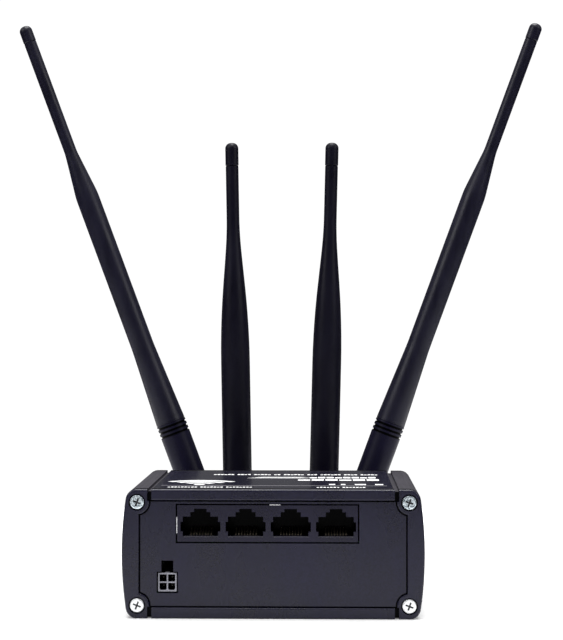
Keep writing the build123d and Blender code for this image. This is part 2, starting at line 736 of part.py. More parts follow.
def make_sim_holder():
    """The two-slot card holder. Its slots face the back panel, which comes off to reach them."""
    left, front = -40.0, 17.0
    width, depth, height = 29.0, 16.8, 6.4
    slot_width, slot_height, slot_margin, slot_rise, slot_pitch = 25.4, 1.1, 1.5, 1.2, 2.9
    slot_left = left + (width - slot_width) / 2
    lower_slot = MAIN_BOARD_TOP + slot_rise
    with BuildPart() as holder:
        box_between((left, front, MAIN_BOARD_TOP), (left + width, front + depth, MAIN_BOARD_TOP + height))
        for slot_z in (lower_slot, lower_slot + slot_pitch):
            low = (slot_left, front + slot_margin, slot_z)
            high = (slot_left + slot_width, front + depth, slot_z + slot_height)
            box_between(low, high, mode=Mode.SUBTRACT)
    return holder


# ---------------------------------------------------------------- antenna jacks and leads
def make_antenna_jacks():
    """Four threaded bulkhead jacks, each with a flange and a lead sleeve inside the panel."""
    flange_radius, sleeve_radius, sleeve_length = 4.4, 1.6, 4.0
    bore_radius, bore_depth = 2.3, 4.2
    flange_start = HOUSING_BACK - FLANGE_THICKNESS
    with BuildPart() as jacks:
        rods_along_y(CONNECTOR_PLACES, sleeve_radius, flange_start - sleeve_length, flange_start)
        rods_along_y(CONNECTOR_PLACES, flange_radius, flange_start, HOUSING_BACK)
        rods_along_y(CONNECTOR_PLACES, THREAD_RADIUS, HOUSING_BACK, THREAD_END)
        bore_start = THREAD_END - bore_depth
        rods_along_y(CONNECTOR_PLACES, bore_radius, bore_start, THREAD_END, mode=Mode.SUBTRACT)
    return jacks


def make_jack_washers():
    """The plain washers under the jack nuts."""
    washer_radius = 5.0
    with BuildPart() as washers:
        with BuildSketch(cross_plane(NUT_SEAT)):
            with Locations(*CONNECTOR_PLACES):
                Circle(washer_radius)
                Circle(THREAD_RADIUS + 0.1, mode=Mode.SUBTRACT)
        extrude(amount=WASHER_THICKNESS)
    return washers


def make_jack_nuts():
    """The hexagon nuts that clamp the bulkhead jacks to the back panel."""
    across_flats = 8.0
    with BuildPart() as nuts:
        with BuildSketch(cross_plane(NUT_SEAT + NUT_THICKNESS)):
            with Locations(*CONNECTOR_PLACES):
                RegularPolygon(across_flats / 2, 6, major_radius=False)
                Circle(THREAD_RADIUS + 0.02, mode=Mode.SUBTRACT)
        extrude(amount=NUT_THICKNESS)
    return nuts


def make_coupling_nuts():
    """The fluted nuts that hold the antennas on their jacks, lipped round each antenna's stem."""
    outer_radius, rim_cut, flute_radius, flute_count, plain_end = 4.6, 0.3, 0.35, 24, 0.8
    thread_bore, lip_bore = THREAD_RADIUS + 0.1, STEM_RADIUS + 0.06
    with BuildPart() as nuts:
        rods_along_y(CONNECTOR_PLACES, outer_radius, COUPLING_START, COUPLING_END)
        rims = nuts.edges().filter_by(GeomType.CIRCLE)
        chamfer(rims, rim_cut)
        with BuildSketch(cross_plane(COUPLING_END - plain_end)):
            with Locations(*CONNECTOR_PLACES):
                with PolarLocations(outer_radius + 0.1, flute_count):
                    Circle(flute_radius)
        extrude(amount=COUPLING_END - COUPLING_START - 2 * plain_end, mode=Mode.SUBTRACT)
        rods_along_y(CONNECTOR_PLACES, thread_bore, COUPLING_START, COUPLING_LIP, mode=Mode.SUBTRACT)
        rods_along_y(CONNECTOR_PLACES, lip_bore, COUPLING_LIP, COUPLING_END, mode=Mode.SUBTRACT)
    return nuts


def make_antenna_leads():
    """The four coaxial leads from the jacks, each ending in a flat snap-on plug on its board."""
    bend_radius, plug_radius, plug_height = 3.5, 1.5, 1.2
    start_y = HOUSING_BACK - FLANGE_THICKNESS - 4.0
    on_card, on_board = MODEM_TOP + plug_height, MAIN_BOARD_TOP + plug_height
    routes = {
        "long_left": [(-18.0, 16.0, 22.0), (4.0, 19.0, 20.5), (16.0, 19.0, on_card)],
        "short_left": [(-12.0, 14.0, 24.5), (-2.0, 14.0, 20.0), (1.5, 8.0, on_board)],
        "short_right": [(11.0, 13.0, 23.5), (3.0, 6.0, 19.0), (1.5, 0.0, on_board)],
        "long_right": [(35.0, 20.5, 21.0), (36.0, 19.0, on_card)],
    }
    first_bends = {"long_left": 22.0, "short_left": 23.0, "short_right": 24.0, "long_right": 24.0}
    with BuildPart() as leads:
        for a in ANTENNAS:
            start = (a.x, start_y, CONNECTOR_Z)
            first_bend = (a.x, first_bends[a.name], CONNECTOR_Z)
            with BuildLine():
                path = FilletPolyline(start, first_bend, *routes[a.name], radius=bend_radius)
            with BuildSketch(Plane(origin=path @ 0, z_dir=path % 0)):
                Circle(LEAD_RADIUS)
            sweep()
            end = path @ 1
            with BuildSketch(level(end.Z - plug_height)):
                with Locations((end.X, end.Y)):
                    Circle(plug_radius)
            extrude(amount=plug_height)
    return leads


# ---------------------------------------------------------------- antennas
def make_stem(a):
    """The brass stem of one antenna: a centre pin, a flange inside the coupling nut and a shank."""
    flange_radius, flange_play = 2.9, 0.1
    pin_radius, pin_length = 0.45, 3.4
    place = [(a.x, CONNECTOR_Z)]
    flange_start, flange_end = THREAD_END + flange_play, COUPLING_LIP - flange_play
    with BuildPart() as stem:
        rods_along_y(place, pin_radius, flange_start - pin_length, flange_start)
        rods_along_y(place, flange_radius, flange_start, flange_end)
        rods_along_y(place, STEM_RADIUS, flange_end, STEM_END)
    return stem


def make_swivel_base(a):
    """The round base that turns behind the coupling nut, with the hinge tongue on its back."""
    start = COUPLING_END + 0.3
    end = HINGE_Y - FORK_RADIUS - 0.35
    tongue_reach = HINGE_Y - end + 1.0
    rim_round, tongue_height = 0.5, 8.6
    with BuildPart() as base:
        rods_along_y([(a.x, CONNECTOR_Z)], TONGUE_RADIUS, start, end)
        fillet(base.edges().filter_by(GeomType.CIRCLE), rim_round)
        with BuildSketch(a.sideways(-TONGUE_THICKNESS / 2)):
            Circle(TONGUE_RADIUS)
            with Locations((-tongue_reach / 2, 0)):
                Rectangle(tongue_reach, tongue_height)
        extrude(amount=TONGUE_THICKNESS)
        rods_along_y([(a.x, CONNECTOR_Z)], STEM_RADIUS, start, STEM_END, mode=Mode.SUBTRACT)
        with BuildSketch(a.sideways(-TONGUE_THICKNESS)):
            Circle(PIN_RADIUS + 0.05)
        extrude(amount=2 * TONGUE_THICKNESS, mode=Mode.SUBTRACT)
    return base


def make_hinge_pin(a):
    """The pin through the fork and the tongue."""
    length, end_cut = 10.6, 0.2
    with BuildPart() as pin:
        with BuildSketch(a.sideways(-length / 2)):
            Circle(PIN_RADIUS)
        extrude(amount=length)
        chamfer(pin.edges().filter_by(GeomType.CIRCLE), end_cut)
    return pin


def make_whip_foot(a):
    """The fork at the bottom of the rod and the stout barrel above it, with a spigot for the sheath."""
    kind = a.kind
    radius = kind.foot_radius
    ring_width, ring_height, seam = 0.9, 0.7, 0.5
    feed_radius, heel_round = 1.4, 3.0
    with BuildPart() as foot:
        with BuildSketch(a.across(-FORK_RADIUS)):
            Circle(radius)
        extrude(amount=kind.foot_top + FORK_RADIUS)
        fillet(foot.edges().filter_by(GeomType.CIRCLE).sort_by(Axis.Z)[0], heel_round)
        with BuildSketch(a.sideways(-radius)):
            Circle(FORK_RADIUS)
            with Locations((0, kind.foot_top / 2)):
                Rectangle(2 * radius, kind.foot_top)
        extrude(amount=2 * radius, mode=Mode.INTERSECT)
        with BuildSketch(a.lengthwise()):
            with Locations((radius, kind.foot_top)):
                Rectangle(seam, seam)
            for height in kind.rings:
                with Locations((radius, height)):
                    Rectangle(ring_width, ring_height)
        revolve(axis=a.rod_axis(), mode=Mode.SUBTRACT)
        with BuildSketch(a.across(kind.foot_top)):
            Circle(kind.bore_radius - 0.05)
        extrude(amount=SPIGOT_LENGTH)
        with BuildSketch(a.sideways(-FORK_GAP / 2)):
            Rectangle(2 * radius + 2, 2 * FORK_THROAT)
        extrude(amount=FORK_GAP, mode=Mode.SUBTRACT)
        with BuildSketch(a.sideways(-radius)):
            Circle(PIN_RADIUS + 0.02)
        extrude(amount=2 * radius, mode=Mode.SUBTRACT)
        with BuildSketch(a.across(0)):
            Circle(feed_radius)
        extrude(amount=kind.foot_top + SPIGOT_LENGTH, mode=Mode.SUBTRACT)
    return foot


def draw_long_side(kind, start, end):
    """Draws the long rod's side from start to end: it tapers, runs straight, then narrows in a cone."""
    base_radius, middle_radius = kind.foot_radius - 0.07, 4.68
    taper_end, cone_start, cone_end = 71.4, 137.8, 156.4
    FilletPolyline(
        (base_radius, start),
        (middle_radius, taper_end),
        (middle_radius, cone_start),
        (kind.slim_radius, cone_end),
        (kind.slim_radius, end),
        radius=[60.0, 40.0, 25.0],
    )
    return base_radius


def draw_short_side(kind, start, end):
    """Draws the short rod's side from start to end: straight, then one long curve in to its slim top."""
    curve_start, curve_end = 60.0, 120.0
    straight = Line((kind.foot_radius, start), (kind.foot_radius, curve_start))
    curve = Spline(
        straight @ 1,
        (kind.foot_radius - 0.95, 86.0),
        (kind.foot_radius - 2.42, 103.0),
        (kind.slim_radius, curve_end),
        tangents=[(0, 1), (0, 1)],
    )
    Line(curve @ 1, (kind.slim_radius, end))
    return kind.foot_radius


def make_sheath(a):
    """The flexible sheath of the rod, from its foot up to the tip cap, hollow for the radiator."""
    kind = a.kind
    joint_gap, slim_bore, bore_cone, top_cut = 0.05, 1.2, 4.0, 0.25
    start, end = kind.foot_top + joint_gap, kind.tip - kind.cap_length - joint_gap
    draw_side = draw_long_side if kind is LONG_WHIP else draw_short_side
    with BuildPart() as sheath:
        with BuildSketch(a.lengthwise()):
            with BuildLine():
                base_radius = draw_side(kind, start, end)
                Polyline(
                    (kind.slim_radius, end),
                    (slim_bore, end),
                    (slim_bore, kind.bore_top + bore_cone),
                    (kind.bore_radius, kind.bore_top),
                    (kind.bore_radius, start),
                    (base_radius, start),
                )
            make_face()
        revolve(axis=a.rod_axis())
        rims = sheath.edges().filter_by(GeomType.CIRCLE)
        slim_rims = rims.filter_by(lambda rim: abs(rim.radius - kind.slim_radius) < 0.01)
        chamfer(slim_rims.sort_by(Axis.Z)[-1], top_cut)
    return sheath


def make_tip_cap(a):
    """The rounded cap plugged into the top of the sheath."""
    kind = a.kind
    cap_radius = kind.slim_radius + 0.08
    spigot_radius, spigot_length = 1.15, 5.0
    lower_cut, dome_share = 0.25, 0.86
    start = kind.tip - kind.cap_length
    with BuildPart() as cap:
        with BuildSketch(a.across(start)):
            Circle(cap_radius)
        extrude(amount=kind.cap_length)
        chamfer(cap.edges().filter_by(GeomType.CIRCLE).sort_by(Axis.Z)[0], lower_cut)
        fillet(cap.edges().filter_by(GeomType.CIRCLE).sort_by(Axis.Z)[-1], cap_radius * dome_share)
        with BuildSketch(a.across(start - spigot_length)):
            Circle(spigot_radius)
        extrude(amount=spigot_length)
    return cap


def make_radiator(a):
    """The brass sleeve and the wire above it inside the sheath, which send and receive."""
    kind = a.kind
    sleeve_radius, sleeve_wall, wire_radius = kind.bore_radius - 0.4, 0.4, 0.6
    low = kind.foot_top + SPIGOT_LENGTH + 0.5
    middle = kind.bore_top - 6.0
    top = kind.tip - kind.cap_length - 8.0
    with BuildPart() as radiator:
        with BuildSketch(a.across(low)):
            Circle(sleeve_radius)
            Circle(sleeve_radius - sleeve_wall, mode=Mode.SUBTRACT)
        extrude(amount=middle - low)
        with BuildSketch(a.across(middle)):
            Circle(sleeve_radius)
        extrude(amount=sleeve_wall)
        with BuildSketch(a.across(middle)):
            Circle(wire_radius)
        extrude(amount=top - middle)
    return radiator


# ---------------------------------------------------------------- every sub-part
def main():
    """Makes every sub-part, labels it and writes its STEP file."""
    pieces = {
        "housing": make_housing(),
        "top_label": make_top_label(),
        "front_panel": make_front_panel(),
        "back_panel": make_back_panel(),
        "front_screws": make_screws(FRONT),
        "back_screws": make_screws(BACK),
        "jack_housing": make_jack_housing(),
        "jack_contacts": make_jack_contacts(),
        "jack_shield": make_jack_shield(),
        "power_socket": make_power_socket(),
        "power_pins": make_power_pins(),
        "status_light_pipes": make_status_light_pipes(),
        "status_lights": make_status_lights(),
        "reset_switch": make_reset_switch(),
        "reset_plunger": make_reset_plunger(),
        "main_board": make_main_board(),
        "port_board": make_port_board(),
        "board_link": make_board_link(),
        "network_transformers": make_network_transformers(),
        "processor": make_processor(),
        "memory_chips": make_memory_chips(),
        "power_choke": make_power_choke(),
        "power_capacitors": make_power_capacitors(),
        "modem_socket": make_modem_socket(),
        "modem_card": make_modem_card(),
        "modem_shield": make_modem_shield(),
        "sim_holder": make_sim_holder(),
        "antenna_jacks": make_antenna_jacks(),
        "jack_washers": make_jack_washers(),
        "jack_nuts": make_jack_nuts(),
        "coupling_nuts": make_coupling_nuts(),
        "antenna_leads": make_antenna_leads(),
    }
    for a in ANTENNAS:
        pieces[f"{a.name}_stem"] = make_stem(a)
        pieces[f"{a.name}_swivel_base"] = make_swivel_base(a)
        pieces[f"{a.name}_hinge_pin"] = make_hinge_pin(a)
        pieces[f"{a.name}_whip_foot"] = make_whip_foot(a)
        pieces[f"{a.name}_sheath"] = make_sheath(a)
        pieces[f"{a.name}_tip_cap"] = make_tip_cap(a)
        pieces[f"{a.name}_radiator"] = make_radiator(a)

    os.makedirs("parts", exist_ok=True)
    for name, piece in pieces.items():
        piece.part.label = name
        export_step(piece.part, f"parts/{name}.step")


main()
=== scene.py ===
"""The looks of a wireless router: materials, the label's print, floor, light and camera.

Everything is in metres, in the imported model's frame: the case stands on z = 0 and its ports face -Y.
"""

import json
import math

import bmesh
import bpy
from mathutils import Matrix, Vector


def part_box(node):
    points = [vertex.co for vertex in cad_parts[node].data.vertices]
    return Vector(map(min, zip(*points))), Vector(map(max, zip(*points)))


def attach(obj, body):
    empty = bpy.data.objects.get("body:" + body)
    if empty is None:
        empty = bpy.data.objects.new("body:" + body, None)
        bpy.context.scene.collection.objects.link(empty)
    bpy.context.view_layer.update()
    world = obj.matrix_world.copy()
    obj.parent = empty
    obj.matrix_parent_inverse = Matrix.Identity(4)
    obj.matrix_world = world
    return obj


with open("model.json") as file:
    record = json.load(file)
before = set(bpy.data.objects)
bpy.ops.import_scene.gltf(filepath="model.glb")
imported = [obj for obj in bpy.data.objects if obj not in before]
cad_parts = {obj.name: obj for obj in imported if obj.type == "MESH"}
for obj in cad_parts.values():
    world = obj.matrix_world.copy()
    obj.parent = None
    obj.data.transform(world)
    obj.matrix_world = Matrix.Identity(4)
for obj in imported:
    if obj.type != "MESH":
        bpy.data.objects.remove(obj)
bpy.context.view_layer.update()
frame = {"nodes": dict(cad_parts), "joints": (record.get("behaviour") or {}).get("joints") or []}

MM = 0.001
SIDES = ("long_left", "short_left", "short_right", "long_right")

# Most of a noise node's values are between these two.
NOISE_LOW = 0.3
NOISE_HIGH = 0.7

# Distances along Y from the case's middle plane to the faces that holes and channels go in from, where the
# painted shade inside them starts.
PANEL_FACE_MM = 39.1
PORT_FACE_MM = 38.5
SOCKET_FACE_MM = 38.7
SHIELD_EDGE_MM = 38.85
# Painted shade inside holes, channels and gaps: a near-black colour and a low specular level.
PAINTED_HOLE_SHADE = (0.0015, 0.0015, 0.002)
PAINTED_HOLE_GLOSS = 0.03
METAL_GLOSS = 0.5

# The ring grooves in a long antenna's foot: the middle one's height over the hinge pin, the pitch,
# and how far from a groove's middle line the painted shade ends and the plain plastic begins.
GROOVE_MIDDLE = 35.4 * MM
GROOVE_PITCH = 1.8 * MM
GROOVE_DARK_END = 0.35 * MM
GROOVE_PLAIN_START = 0.6 * MM
# Painted shade in the ring grooves: a near-black colour and a low specular level.
PAINTED_GROOVE_SHADE = (0.001, 0.001, 0.001)
PAINTED_GROOVE_GLOSS = 0.02
KNUCKLE_GLOSS = 0.13

# The table's rim, and the distances from its middle between which its glow grows.
TABLE_RADIUS = 0.34
TABLE_SIDES = 120
GLOW_START = 0.12
GLOW_END = 0.3

# The panels' screws: the heights between the lower and the upper ones, and the distances along Y
# from the case's middle plane between which the painted shade in the cross recess gives way to the head.
LOWER_SCREWS_TOP = 20.0 * MM
UPPER_SCREWS_BOTTOM = 24.0 * MM
RECESS_DARK_END = 39.4 * MM
HEAD_BRIGHT_START = 39.7 * MM


# ---------------------------------------------------------------- material building blocks
class Look:
    """A material's node tree, with short ways to add the few nodes that the looks share."""

    def __init__(self, name, material=None):
        self.material = material or bpy.data.materials.new(name)
        self.material.use_nodes = True
        self.tree = self.material.node_tree
        self.shader = self.tree.nodes["Principled BSDF"]
        self.place = self.tree.nodes.new("ShaderNodeTexCoord").outputs["Object"]

    def node(self, kind, **settings):
        """A new node with these properties set."""
        made = self.tree.nodes.new(kind)
        for key, value in settings.items():
            setattr(made, key, value)
        return made

    def link(self, output, target):
        """Joins an output to an input."""
        self.tree.links.new(output, target)

    def shine(self, **values):
        """Sets constant values on the shader's own sockets, by name with _ for a space."""
        for key, value in values.items():
            self.shader.inputs[key.replace("_", " ")].default_value = value

    def stretched(self, stretch):
        """The place on the object, stretched along its axes."""
        mapping = self.node("ShaderNodeMapping")
        mapping.inputs["Scale"].default_value = stretch
        self.link(self.place, mapping.inputs["Vector"])
        return mapping.outputs["Vector"]

    def noise(self, size_mm, detail=2.0, roughness=0.5, stretch=None):
        """Soft noise whose blobs are about this size."""
        made = self.node("ShaderNodeTexNoise")
        made.inputs["Scale"].default_value = 1.0 / (size_mm * MM)
        made.inputs["Detail"].default_value = detail
        made.inputs["Roughness"].default_value = roughness
        self.link(self.stretched(stretch) if stretch else self.place, made.inputs["Vector"])
        return made.outputs["Fac"]

    def remap(self, value, low, high, to_low, to_high):
        """value, taken from one range to another."""
        made = self.node("ShaderNodeMapRange")
        made.inputs["From Min"].default_value = low
        made.inputs["From Max"].default_value = high
        made.inputs["To Min"].default_value = to_low
        made.inputs["To Max"].default_value = to_high
        self.link(value, made.inputs["Value"])
        return made.outputs["Result"]

    def blend(self, factor, first, second):
        """A colour between two colours or colour outputs."""
        made = self.node("ShaderNodeMix", data_type="RGBA")
        self.link(factor, made.inputs["Factor"])
        for socket, colour in ((made.inputs["A"], first), (made.inputs["B"], second)):
            if isinstance(colour, tuple):
                socket.default_value = (*colour, 1.0)
            else:
                self.link(colour, socket)
        return made.outputs["Result"]

    def combine(self, first, second, operation="ADD"):
        """Arithmetic on two values."""
        made = self.node("ShaderNodeMath", operation=operation)
        for socket, value in ((made.inputs[0], first), (made.inputs[1], second)):
            if isinstance(value, (int, float)):
                socket.default_value = value
            else:
                self.link(value, socket)
        return made.outputs["Value"]

    def mean(self, first, second):
        """The mean of two values."""
        return self.combine(self.combine(first, second), 0.5, "MULTIPLY")

    def along(self, axis):
        """The place on the object along one axis, in metres."""
        parts = self.node("ShaderNodeSeparateXYZ")
        self.link(self.place, parts.inputs["Vector"])
        return parts.outputs[axis]

    def recolour(self, mask, colour):
        """Turns the base colour into this colour or colour output where the mask is 0."""
        base = self.shader.inputs["Base Color"].links[0].from_socket
        self.link(self.blend(mask, colour, base), self.shader.inputs["Base Color"])

    def gloss_between(self, mask, low, high):
        """Specular level that goes from low where the mask is 0 to high where it is 1."""
        self.link(self.remap(mask, 0.0, 1.0, low, high), self.shader.inputs["Specular IOR Level"])

    def paint_hole_shade(self, face_mm, fade_mm, gloss):
        """Paints shade on the walls of holes and channels: near-black and less glossy over the first fade_mm
        in from the face they start at.
        """
        depth = self.combine(self.along("Y"), 0.0, "ABSOLUTE")
        mask = self.remap(depth, (face_mm - fade_mm) * MM, face_mm * MM, 0.0, 1.0)
        self.recolour(mask, PAINTED_HOLE_SHADE)
        self.gloss_between(mask, PAINTED_HOLE_GLOSS, gloss)

    def mottle(self, colour, spread, factor):
        """Base colour that wanders by this share round a colour."""
        dark = tuple(c * (1 - spread) for c in colour)
        light = tuple(min(1.0, c * (1 + spread)) for c in colour)
        mixed = self.blend(self.remap(factor, NOISE_LOW, NOISE_HIGH, 0.0, 1.0), dark, light)
        self.link(mixed, self.shader.inputs["Base Color"])
        return mixed

    def uneven_roughness(self, low, high, factor):
        """Roughness that wanders between two values."""
        self.link(self.remap(factor, NOISE_LOW, NOISE_HIGH, low, high), self.shader.inputs["Roughness"])

    def bump(self, height, depth_mm):
        """Relief of this depth."""
        made = self.node("ShaderNodeBump")
        made.inputs["Strength"].default_value = 1.0
        made.inputs["Distance"].default_value = depth_mm * MM
        self.link(height, made.inputs["Height"])
        self.link(made.outputs["Normal"], self.shader.inputs["Normal"])


def moulded_plastic(name, colour, roughness, grain_mm=0.28, grain_depth_mm=0.02, gloss=0.42, hole=None):
    """Spark-eroded moulded plastic: fine grain, faint flow marks and slightly uneven sheen.

    hole is the face that its holes go in from and the depth over which painted shade darkens them, in
    millimetres.
    """
    look = Look(name)
    flow = look.noise(14.0, detail=3.0, stretch=(1.0, 1.0, 0.4))
    grain = look.noise(grain_mm, detail=1.5)
    speckle = look.noise(grain_mm * 2.4, detail=2.0)
    look.mottle(colour, 0.45, look.mean(flow, speckle))
    look.uneven_roughness(roughness - 0.06, roughness + 0.06, flow)
    look.bump(grain, grain_depth_mm)
    look.shine(Specular_IOR_Level=gloss)
    if hole:
        # Painted shade inside the holes.
        look.paint_hole_shade(*hole, gloss)
    return look.material


def knuckle_look(name):
    """Satin black plastic of the antennas' knuckles."""
    return moulded_plastic(
        name,
        colour=(0.0058, 0.005, 0.017),
        roughness=0.42,
        grain_mm=0.22,
        grain_depth_mm=0.01,
        gloss=KNUCKLE_GLOSS,
    )


def grooved_plastic(name, pin, rod):
    """The knuckles' plastic, with painted shade in the ring grooves round the rod that rises from this hinge
    pin.
    """
    look = Look(name, knuckle_look(name))
    start = look.node("ShaderNodeVectorMath", operation="SUBTRACT")
    start.inputs[1].default_value = pin
    look.link(look.place, start.inputs[0])
    height = look.node("ShaderNodeVectorMath", operation="DOT_PRODUCT")
    height.inputs[1].default_value = rod
    look.link(start.outputs["Vector"], height.inputs[0])
    from_middle = look.combine(height.outputs["Value"], GROOVE_MIDDLE, "SUBTRACT")
    nearest = look.combine(look.combine(from_middle, GROOVE_PITCH, "DIVIDE"), 0.0, "ROUND")
    nearest = look.combine(look.combine(nearest, 1.0, "MINIMUM"), -1.0, "MAXIMUM")
    offset = look.combine(from_middle, look.combine(nearest, GROOVE_PITCH, "MULTIPLY"), "SUBTRACT")
    distance = look.combine(offset, 0.0, "ABSOLUTE")
    plain = look.remap(distance, GROOVE_DARK_END, GROOVE_PLAIN_START, 0.0, 1.0)
    # Painted shade in the grooves.
    look.recolour(plain, PAINTED_GROOVE_SHADE)
    look.gloss_between(plain, PAINTED_GROOVE_GLOSS, KNUCKLE_GLOSS)
    return look.material


def coated_metal(name, colour, roughness):
    """Coated extruded aluminium: a pebbled coat over faint die lines along the case."""
    look = Look(name)
    pebbles = look.noise(0.5, detail=2.5, roughness=0.6)
    lines = look.noise(0.35, detail=2.0, stretch=(1.0, 0.012, 1.0))
    cloud = look.noise(22.0, detail=3.0)
    both = look.mean(pebbles, lines)
    look.mottle(colour, 0.6, both)
    look.uneven_roughness(roughness - 0.07, roughness + 0.07, cloud)
    look.bump(both, 0.06)
    look.shine(Metallic=0.2, Specular_IOR_Level=0.4)
    return look.material


def printed_film(name, colour):
    """Satin black film: faint orange peel, hairline scuffs and a few specks of dust."""
    look = Look(name)
    peel = look.noise(1.1, detail=1.0)
    scuffs = look.noise(0.25, detail=2.0, stretch=(0.05, 1.0, 1.0))
    specks = look.remap(look.noise(0.6, detail=1.0), 0.70, 0.76, 0.0, 1.0)
    base = look.mottle(colour, 0.12, look.noise(9.0, detail=3.0))
    dusted = look.blend(specks, base, (0.16, 0.16, 0.17))
    look.link(dusted, look.shader.inputs["Base Color"])
    look.uneven_roughness(0.16, 0.26, scuffs)
    look.bump(peel, 0.004)
    look.shine(Specular_IOR_Level=0.9)
    return look.material


def elastomer(name, colour, roughness, gloss):
    """Satin rubbery plastic with fine grain, handling marks and a soft sheen."""
    look = Look(name)
    grain = look.noise(0.45, detail=2.5)
    marks = look.noise(6.0, detail=4.0, roughness=0.6, stretch=(1.0, 1.0, 0.25))
    look.mottle(colour, 0.5, look.mean(grain, marks))
    look.uneven_roughness(roughness - 0.08, roughness + 0.08, marks)
    look.bump(grain, 0.05)
    look.shine(Specular_IOR_Level=gloss)
    return look.material


def plated_metal(name, colour, roughness, grain=(1.0, 1.0, 1.0), hole=None):
    """Plated metal with fine grain, drawn out along the axis whose number is small, and small stains.

    hole is the face that its openings go in from and the depth over which painted shade darkens them, in
    millimetres.
    """
    look = Look(name)
    lay = look.noise(0.16, detail=2.0, stretch=grain)
    stains = look.noise(1.6, detail=3.0, roughness=0.6)
    look.mottle(colour, 0.12, stains)
    look.uneven_roughness(roughness - 0.05, roughness + 0.10, stains)
    look.bump(lay, 0.01)
    look.shine(Metallic=1.0)
    if hole:
        # Painted shade inside the openings.
        look.paint_hole_shade(*hole, METAL_GLOSS)
    return look.material


def screw_metal(name):
    """Bright zinc plate: the upper screws are duller, and the cross recess gets painted shade."""
    look = Look(name)
    stains = look.noise(0.7, detail=3.0, roughness=0.7)
    look.mottle((0.86, 0.87, 0.88), 0.10, stains)
    lower = look.remap(look.along("Z"), LOWER_SCREWS_TOP, UPPER_SCREWS_BOTTOM, 1.0, 0.0)
    patches = look.remap(stains, 0.42, 0.58, 0.0, 1.0)
    look.recolour(lower, look.blend(patches, (0.20, 0.24, 0.27), (0.72, 0.80, 0.84)))
    # Painted shade in the cross recess: near-black below the head's face.
    depth = look.combine(look.along("Y"), 0.0, "ABSOLUTE")
    head = look.remap(depth, RECESS_DARK_END, HEAD_BRIGHT_START, 0.0, 1.0)
    look.recolour(head, (0.05, 0.05, 0.055))
    look.uneven_roughness(0.28, 0.46, stains)
    look.bump(look.noise(0.25, detail=2.0), 0.02)
    look.shine(Metallic=1.0)
    return look.material


def ink(name, colour):
    """Screen-printed ink, slightly uneven."""
    look = Look(name)
    look.mottle(colour, 0.08, look.noise(0.5, detail=2.0))
    look.bump(look.noise(0.2, detail=1.0), 0.01)
    look.shine(Roughness=0.5)
    return look.material


def clear_plastic(name):
    """Clear moulded light pipe with a little haze."""
    look = Look(name)
    haze = look.noise(1.0, detail=2.0)
    look.mottle((0.80, 0.83, 0.83), 0.05, haze)
    look.uneven_roughness(0.12, 0.28, haze)
    look.shine(Transmission_Weight=0.6, IOR=1.58)
    return look.material


def solder_resist(name):
    """Green solder resist over a weave of copper tracks."""
    look = Look(name)
    tracks = look.node("ShaderNodeTexBrick", offset=0.5)
    tracks.inputs["Scale"].default_value = 260.0
    tracks.inputs["Mortar Size"].default_value = 0.035
    look.link(look.place, tracks.inputs["Vector"])
    base = look.blend(tracks.outputs["Fac"], (0.012, 0.085, 0.04), (0.03, 0.16, 0.07))
    look.link(base, look.shader.inputs["Base Color"])
    look.bump(tracks.outputs["Fac"], 0.03)
    look.uneven_roughness(0.28, 0.4, look.noise(2.0))
    return look.material


def floor_material(name):
    """A white table with barely visible mottling, which glows a little and more towards its rim."""
    look = Look(name)
    look.mottle((0.90, 0.90, 0.90), 0.01, look.noise(40.0, detail=3.0))
    look.uneven_roughness(0.75, 0.85, look.noise(25.0))
    look.shine(Specular_IOR_Level=0.1, Emission_Color=(1.0, 1.0, 1.0, 1.0))
    far = look.node("ShaderNodeVectorMath", operation="LENGTH")
    look.link(look.place, far.inputs[0])
    glow = look.remap(far.outputs["Value"], GLOW_START, GLOW_END, 0.10, 0.35)
    look.link(glow, look.shader.inputs["Emission Strength"])
    return look.material


# ---------------------------------------------------------------- materials of the CAD pieces
# The hole settings below paint shade into holes, channels and gaps, deepening to near-black over the given
# depth in from the given face.
panel_plastic = moulded_plastic(
    "panel_plastic",
    colour=(0.0065, 0.006, 0.019),
    roughness=0.28,
    grain_mm=0.3,
    grain_depth_mm=0.03,
    gloss=0.29,
    hole=(PANEL_FACE_MM, 0.5),
)
port_plastic = moulded_plastic(
    "port_plastic",
    colour=(0.006, 0.005, 0.017),
    roughness=0.28,
    grain_mm=0.2,
    grain_depth_mm=0.008,
    gloss=0.26,
    hole=(PORT_FACE_MM, 1.4),
)
socket_plastic = moulded_plastic(
    "socket_plastic",
    colour=(0.20, 0.20, 0.23),
    roughness=0.45,
    grain_mm=0.2,
    grain_depth_mm=0.01,
    gloss=0.4,
    hole=(SOCKET_FACE_MM, 0.7),
)
inner_plastic = moulded_plastic("inner_plastic", (0.03, 0.03, 0.032), 0.5)
button_plastic = moulded_plastic("button_plastic", (0.30, 0.30, 0.31), 0.5)
light_body = moulded_plastic("light_body", (0.75, 0.75, 0.70), 0.3, grain_depth_mm=0.004)
knuckle_plastic = knuckle_look("knuckle_plastic")
case_metal = coated_metal("case_metal", (0.036, 0.033, 0.043), 0.5)
label_film = printed_film("label_film", (0.0085, 0.008, 0.019))
long_rubber = elastomer("long_rubber", (0.0045, 0.004, 0.014), 0.38, gloss=0.27)
short_rubber = elastomer("short_rubber", (0.002, 0.0016, 0.0075), 0.38, gloss=0.18)
zinc = screw_metal("zinc")
tin = plated_metal("tin", (0.74, 0.74, 0.75), 0.3, grain=(1.0, 1.0, 0.1))
shield_tin = plated_metal(
    "shield_tin",
    colour=(0.78, 0.78, 0.80),
    roughness=0.3,
    grain=(1.0, 1.0, 0.1),
    hole=(SHIELD_EDGE_MM, 0.7),
)
# Gold, darkened well below bright gold to paint in the shade deep inside the ports.
gold_with_painted_shade = plated_metal("gold_with_painted_shade", (0.30, 0.26, 0.21), 0.4)
